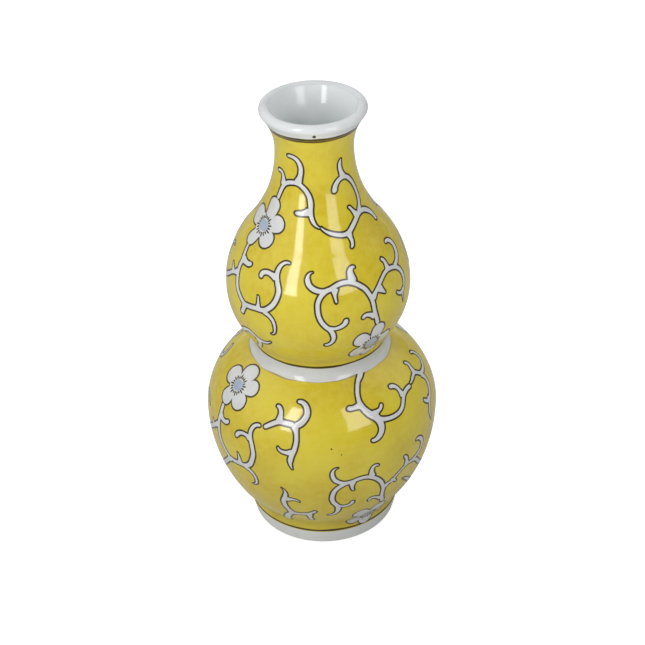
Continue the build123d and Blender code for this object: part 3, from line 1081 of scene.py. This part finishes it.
def enamel_material(name, edge, thin, thick, rough):
    """A glossy overglaze enamel, uneven in depth, with this colour at its edge: thinner paint on the lines,
    painted shade on the white enamel.
    """
    material, tree, shader = new_material(name)
    flow = glaze_flow_node(tree, cloud=7 * mm, mottle=1.0 * mm, ripple=3 * mm)
    crown = add_node(tree, "ShaderNodeAttribute", attribute_name="crown").outputs["Fac"]
    full = add_node(
        tree, "ShaderNodeMapRange", {0: crown, 1: 0.0, 2: 0.5}, interpolation_type="SMOOTHSTEP"
    ).outputs[0]
    middle = mix_colour(tree, flow["Pooling"], thin, thick)
    tree.links.new(mix_colour(tree, full, edge, middle), shader.inputs["Base Color"])
    tree.links.new(between(tree, flow["Mottle"], rough - 0.04, rough + 0.06), shader.inputs["Roughness"])
    tree.links.new(rippled_normal(tree, flow["Ripple"], 0.03 * mm), shader.inputs["Normal"])
    return material


brushed_enamel = brush_tree()
skin_points = along(*wall_arcs)
bare_wall = turn_section("bare_wall", [(out, 0.0, up) for out, up in skin_points], white_glaze, white_glaze)
dark_line = enamel_material(
    "dark_line", (0.14, 0.105, 0.024), (0.075, 0.054, 0.014), (0.032, 0.023, 0.009), 0.16
)
# Painted shade: the white enamel greys towards its edges.
white_enamel = enamel_material(
    "white_enamel", (0.46, 0.46, 0.42), (0.72, 0.73, 0.73), (0.66, 0.67, 0.67), 0.10
)
sprays = [
    (lower_left_spray, 186),
    (bottom_sprig, 180),
    (waist_spray, 174),
    (lower_right_spray, 180),
    (upper_left_spray, 184),
    (upper_right_spray, 184),
]
outline_drawing = draw_strokes("outline_drawing", sprays)
fill_drawing = draw_strokes("fill_drawing", sprays, outline_width)
paint("vine_outline", outline_drawing, dark_line, "outline_enamel", *line_heights)
paint("vine_enamel", fill_drawing, white_enamel, "vine_enamel", *fill_heights, trim=outline_width * mm)
for drawing in (outline_drawing, fill_drawing):
    remove_helper(drawing)


# Blossoms: five round white petals round a pale blue heart with a ring of stamens.
# They are outlined and filled like the vine, and the heart and stamens are touched in on top.
petal_shares = (0.5, 0.8, 0.95, 1.0, 1.0)
blossom_middle = 5.2
heart_width = 5.6
heart_height = 4.4
stamen_brush = vine(0.8, 0.85, 0.5)
stamen_count = 20
stamen_reach = 4.6
stamen_stray = 0.5
blossoms = [
    {
        "place": (-59.8, 78.2),
        "back_turn": 186,
        "petals": [
        (81, 12.0, 10.0), (19, 12.4, 8.6), (-46, 11.2, 10.0), (-108, 11.5, 8.8), (166, 11.7, 10.4)],
    },
    {
        "place": (-60.9, 162.5),
        "back_turn": 184,
        "petals": [
        (79.5, 13.7, 8.0), (25, 12.2, 8.6), (-41, 10.0, 9.2), (-109, 11.2, 7.6), (167, 12.2, 10.4)],
    },
    {
        "place": (30.6, 8.6),
        "back_turn": 180,
        "petals": [(72, 12.0, 8.4), (128, 12.4, 8.8), (200, 10.8, 8.8), (272, 9.0, 8.4), (355, 11.4, 8.4)],
    },
    {
        "place": (35.3, 111.9),
        "back_turn": 184,
        "petals": [(73, 11.3, 8.2), (140, 11.0, 8.6), (216, 11.2, 9.2), (-80, 11.5, 8.4), (-4, 11.5, 8.4)],
    },
]


def step_on_wall(place, angle, distance):
    """Place reached from another by going a distance over the wall, at an angle up from the right."""
    out = wall_point(0, place[1]).xy.length / mm
    return (
        place[0] + distance * cos(radians(angle)) / out * 180 / pi,
        place[1] + distance * sin(radians(angle)),
    )


petal_groups = []
middle_groups = []
heart_groups = []
stamen_groups = []
for blossom in blossoms:
    centre = blossom["place"]
    petals = []
    for angle, reach, width in blossom["petals"]:
        petal_run = [step_on_wall(centre, angle, share * reach) for share in (0.08, 0.35, 0.65, 1.0)]
        petals.append((vine(*[share * width for share in petal_shares]), petal_run))
    middle_run = [step_on_wall(centre, 0, side * blossom_middle) for side in (-1, 0, 1)]
    heart_run = [step_on_wall(centre, 0, side * heart_width / 2) for side in (-1, 0, 1)]
    stamens = []
    for stamen in range(stamen_count):
        angle = 360 * stamen / stamen_count
        tip = stamen_reach + stamen_stray * sin(2.4 * stamen)
        stamen_run = [step_on_wall(centre, angle, distance) for distance in (2.7, 3.5, tip)]
        stamens.append((stamen_brush, stamen_run))
    petal_groups.append((petals, blossom["back_turn"]))
    middle_groups.append(([(vine(2 * blossom_middle, 2 * blossom_middle), middle_run)], blossom["back_turn"]))
    heart_groups.append(([(vine(heart_height, heart_height), heart_run)], blossom["back_turn"]))
    stamen_groups.append((stamens, blossom["back_turn"]))

blue_enamel = enamel_material("blue_enamel", (0.26, 0.31, 0.40), (0.42, 0.50, 0.62),
        (0.34, 0.42, 0.55), 0.12)
petal_drawing = draw_strokes("petal_drawing", petal_groups)
petal_fill_drawing = draw_strokes("petal_fill_drawing", petal_groups, outline_width)
middle_drawing = draw_strokes("middle_drawing", middle_groups)
heart_drawing = draw_strokes("heart_drawing", heart_groups)
stamen_drawing = draw_strokes("stamen_drawing", stamen_groups)
paint("blossom_outline", petal_drawing, dark_line, "outline_enamel", *line_heights, points_across=16)
paint(
    "blossom_petals",
    petal_fill_drawing,
    white_enamel,
    "vine_enamel",
    *fill_heights,
    trim=outline_width * mm,
    points_across=16,
)
paint(
    "blossom_middles", middle_drawing, white_enamel, "vine_enamel", 0.045 * mm, 0.105 * mm, points_across=16
)
paint("blossom_hearts", heart_drawing, blue_enamel, "blossom_enamel", 0.12 * mm, 0.17 * mm)
paint("stamens", stamen_drawing, dark_line, "outline_enamel", 0.12 * mm, 0.15 * mm, points_across=6)
for drawing in (petal_drawing, petal_fill_drawing, middle_drawing, heart_drawing, stamen_drawing):
    remove_helper(drawing)


# Ring lines: a dark brush line drawn on the wheel where white meets yellow, at foot, waist and rim.
# The rim's line has a thinner brown wash under it, and white enamel closes the waist's lower edge, with an
# olive line of painted shade along it.
ring_marks = 72
foot_line = {"up": 0.4, "width": 1.1, "waver": 0.12}
waist_line = {"up": 97.9, "width": 1.2, "waver": 0.12}
rim_line = {"up": 205.6, "width": 1.1, "waver": 0.12}
rim_under_line = {"up": 204.0, "width": 0.6, "waver": 0.12}
rim_wash = {"up": 204.9, "width": 2.4, "waver": 0.12}
waist_band = {"up": 92.5, "width": 3.1, "waver": 0.45}
band_shade_line = {"up": 91.0, "width": 0.9, "waver": 0.45}


def draw_rings(name, rings):
    """Draw rings round the wall, a little uneven in width and height, as a hand holds the brush."""
    drawn = new_drawing(name)
    for ring in rings:
        spline = drawn.data.splines.new("POLY")
        spline.points.add(ring_marks - 1)
        spline.use_cyclic_u = True
        for index, mark in enumerate(spline.points):
            turn = 2 * pi * index / ring_marks
            waver = sin(3 * turn + 1) + 0.6 * sin(7 * turn + ring["up"]) + 0.5 * sin(16 * turn)
            mark.co = (*wall_point(turn * 180 / pi, ring["up"] + waver / 2 * ring["waver"]), 1.0)
            mark.radius = ring["width"] / 2 * mm * (1 + 0.14 * sin(5 * turn + 2) + 0.10 * sin(11 * turn))
    return drawn


brown_wash = enamel_material("brown_wash", (0.34, 0.26, 0.03), (0.20, 0.14, 0.02), (0.15, 0.10, 0.02), 0.14)
# Painted shade: a thin olive line along the lower edge of the white waist band.
olive_band_shade = enamel_material("olive_band_shade", (0.55, 0.45, 0.10), (0.36, 0.31, 0.13), (0.44, 0.37, 0.12), 0.14)
band_enamel = enamel_material("band_enamel", (0.67, 0.68, 0.67), (0.69, 0.70, 0.69),
        (0.63, 0.65, 0.65), 0.12)
line_drawing = draw_rings("line_drawing", [foot_line, waist_line, rim_line, rim_under_line])
wash_drawing = draw_rings("wash_drawing", [rim_wash])
band_drawing = draw_rings("band_drawing", [waist_band])
edge_drawing = draw_rings("edge_drawing", [band_shade_line])
paint("rim_wash", wash_drawing, brown_wash, "outline_enamel", 0.012 * mm, 0.020 * mm)
paint("ring_lines", line_drawing, dark_line, "outline_enamel", *line_heights)
paint("waist_band_edge", edge_drawing, olive_band_shade, "outline_enamel", 0.012 * mm, 0.020 * mm)
paint("waist_band", band_drawing, band_enamel, "vine_enamel", 0.042 * mm, 0.060 * mm)
for drawing in (line_drawing, wash_drawing, band_drawing, edge_drawing):
    remove_helper(drawing)


# Kiln specks: a few dark grains of iron that burnt through the glaze in the firing.
# One sits in the white of the rim and the others, fainter, on the belly.
specks = [
    {"place": (0.3, 208.0), "width": 1.3, "height": 2.2},
    {"place": (3.9, 62.5), "width": 0.9, "height": 0.9},
    {"place": (8.6, 59.5), "width": 0.75, "height": 0.75},
]
speck_drawing = new_drawing("speck_drawing")
for speck in specks:
    ends = [step_on_wall(speck["place"], 90, side * speck["height"] / 2) for side in (-1, 0, 1)]
    add_stroke(speck_drawing.data, vine(speck["width"], speck["width"]), ends, 0.0)
iron_grain = enamel_material(
    "iron_grain", (0.05, 0.04, 0.02), (0.016, 0.013, 0.010), (0.010, 0.009, 0.008), 0.3
)
paint("kiln_specks", speck_drawing, iron_grain, "outline_enamel", 0.02 * mm, 0.04 * mm, points_across=8)
remove_helper(speck_drawing)
remove_helper(bare_wall)


# Camera: above and in front of the vase, looking down on it as the photograph does.
# A long lens and a slight roll give the photograph's proportions and lean.
camera_data = bpy.data.cameras.new("camera")
camera_data.lens = 85.65
camera_data.sensor_width = 36.0
camera = bpy.data.objects.new("camera", camera_data)
camera_place = Vector((0.0, -0.53633, 0.46723))
camera_aim = Vector((0.00126, 0.0, 0.0965))
camera_roll = radians(-1.66)
facing = (camera_aim - camera_place).to_track_quat("-Z", "Y").to_matrix().to_4x4()
camera.matrix_world = Matrix.Translation(camera_place) @ facing @ Matrix.Rotation(camera_roll, 4, "Z")
bpy.context.scene.collection.objects.link(camera)
bpy.context.scene.camera = camera


# Studio: a pale floor, white surroundings and two upright soft panels in front of the vase.
# The left side and overhead are bright and the right side dim, and the floor keeps the vase's shadow.
panel_bottom = 150 * mm
panel_top = 400 * mm
panels = {
    "left_panel": {"place": (-156 * mm, -246 * mm), "width": 70 * mm, "radiance": 7.7},
    "right_panel": {"place": (168 * mm, -238 * mm), "width": 118 * mm, "radiance": 3.8},
}
for name, panel in panels.items():
    lamp = bpy.data.lights.new(name, "AREA")
    lamp.shape = "RECTANGLE"
    lamp.size = panel["width"]
    lamp.size_y = panel_top - panel_bottom
    lamp.energy = panel["radiance"] * pi * lamp.size * lamp.size_y
    lamp_object = bpy.data.objects.new(name, lamp)
    place = Vector((*panel["place"], (panel_bottom + panel_top) / 2))
    aim = Vector((0.0, 0.0, place.z))
    turn = (aim - place).to_track_quat("-Z", "Y").to_matrix().to_4x4()
    lamp_object.matrix_world = Matrix.Translation(place) @ turn
    lamp_object.visible_camera = False
    bpy.context.scene.collection.objects.link(lamp_object)

left_light = 0.78
right_light = 0.10
backdrop_light = 0.30
overhead_light = 1.02
world = bpy.data.worlds.new("white surroundings")
world.use_nodes = True
bpy.context.scene.world = world
sky = world.node_tree
background = sky.nodes["Background"]
background.inputs["Color"].default_value = (1.0, 1.0, 1.0, 1.0)
direction = add_node(sky, "ShaderNodeTexCoord").outputs["Generated"]
towards = add_node(sky, "ShaderNodeSeparateXYZ", {0: direction}).outputs
behind = add_node(
    sky, "ShaderNodeMapRange", {0: towards["Y"], 1: -0.35, 2: 0.35}, interpolation_type="SMOOTHSTEP"
).outputs[0]
in_front = add_node(
    sky,
    "ShaderNodeMapRange",
    {0: towards["X"], 1: -1.0, 2: 0.4, 3: left_light, 4: right_light},
    interpolation_type="SMOOTHSTEP",
).outputs[0]
at_the_back = add_node(
    sky,
    "ShaderNodeMapRange",
    {0: towards["Z"], 1: 0.1, 2: 0.6, 3: backdrop_light, 4: overhead_light},
    interpolation_type="SMOOTHSTEP",
).outputs[0]
rays = add_node(sky, "ShaderNodeLightPath").outputs
far_behind = add_node(
    sky, "ShaderNodeMapRange", {0: towards["Y"], 1: 0.80, 2: 0.95}, interpolation_type="SMOOTHSTEP"
).outputs[0]
mirrored = calc(sky, "MULTIPLY", rays["Is Glossy Ray"], far_behind)
seen_straight = calc(sky, "MAXIMUM", rays["Is Camera Ray"], rays["Is Transmission Ray"])
seen = calc(sky, "MAXIMUM", seen_straight, mirrored)
lit = between(sky, behind, in_front, at_the_back)
sky.links.new(calc(sky, "MAXIMUM", lit, seen), background.inputs["Strength"])

floor_reach = 3.0
floor_grey = 0.64
floor_glow = 0.72
floor_mesh = bpy.data.meshes.new("floor")
floor_mesh.from_pydata(
    [(x * floor_reach, y * floor_reach, 0.0) for x, y in ((-1, -1), (1, -1), (1, 1), (-1, 1))],
    [],
    [(0, 1, 2, 3)],
)
floor = bpy.data.objects.new("floor", floor_mesh)
bpy.context.scene.collection.objects.link(floor)
floor_paint, floor_tree, floor_shader = new_material("floor_paint")
floor_shader.inputs["Base Color"].default_value = (floor_grey, floor_grey, floor_grey, 1.0)
floor_shader.inputs["Roughness"].default_value = 0.9
floor_shader.inputs["Specular IOR Level"].default_value = 0.0
floor_shader.inputs["Emission Color"].default_value = (1.0, 1.0, 1.0, 1.0)
floor_rays = add_node(floor_tree, "ShaderNodeLightPath").outputs
floor_place = add_node(floor_tree, "ShaderNodeTexCoord").outputs["Object"]
floor_depth = add_node(floor_tree, "ShaderNodeSeparateXYZ", {0: floor_place}).outputs["Y"]
far_off = add_node(
    floor_tree, "ShaderNodeMapRange", {0: floor_depth, 1: 1.4, 2: 2.6}, interpolation_type="SMOOTHSTEP"
).outputs[0]
floor_mirrored = calc(floor_tree, "MULTIPLY", floor_rays["Is Glossy Ray"], far_off)
floor_seen = calc(floor_tree, "MAXIMUM", floor_rays["Is Camera Ray"], floor_rays["Is Transmission Ray"])
floor_tree.links.new(
    calc(floor_tree, "MULTIPLY", calc(floor_tree, "MAXIMUM", floor_seen, floor_mirrored), floor_glow),
    floor_shader.inputs["Emission Strength"],
)
floor_mesh.materials.append(floor_paint)

bpy.context.scene.view_settings.view_transform = "Standard"
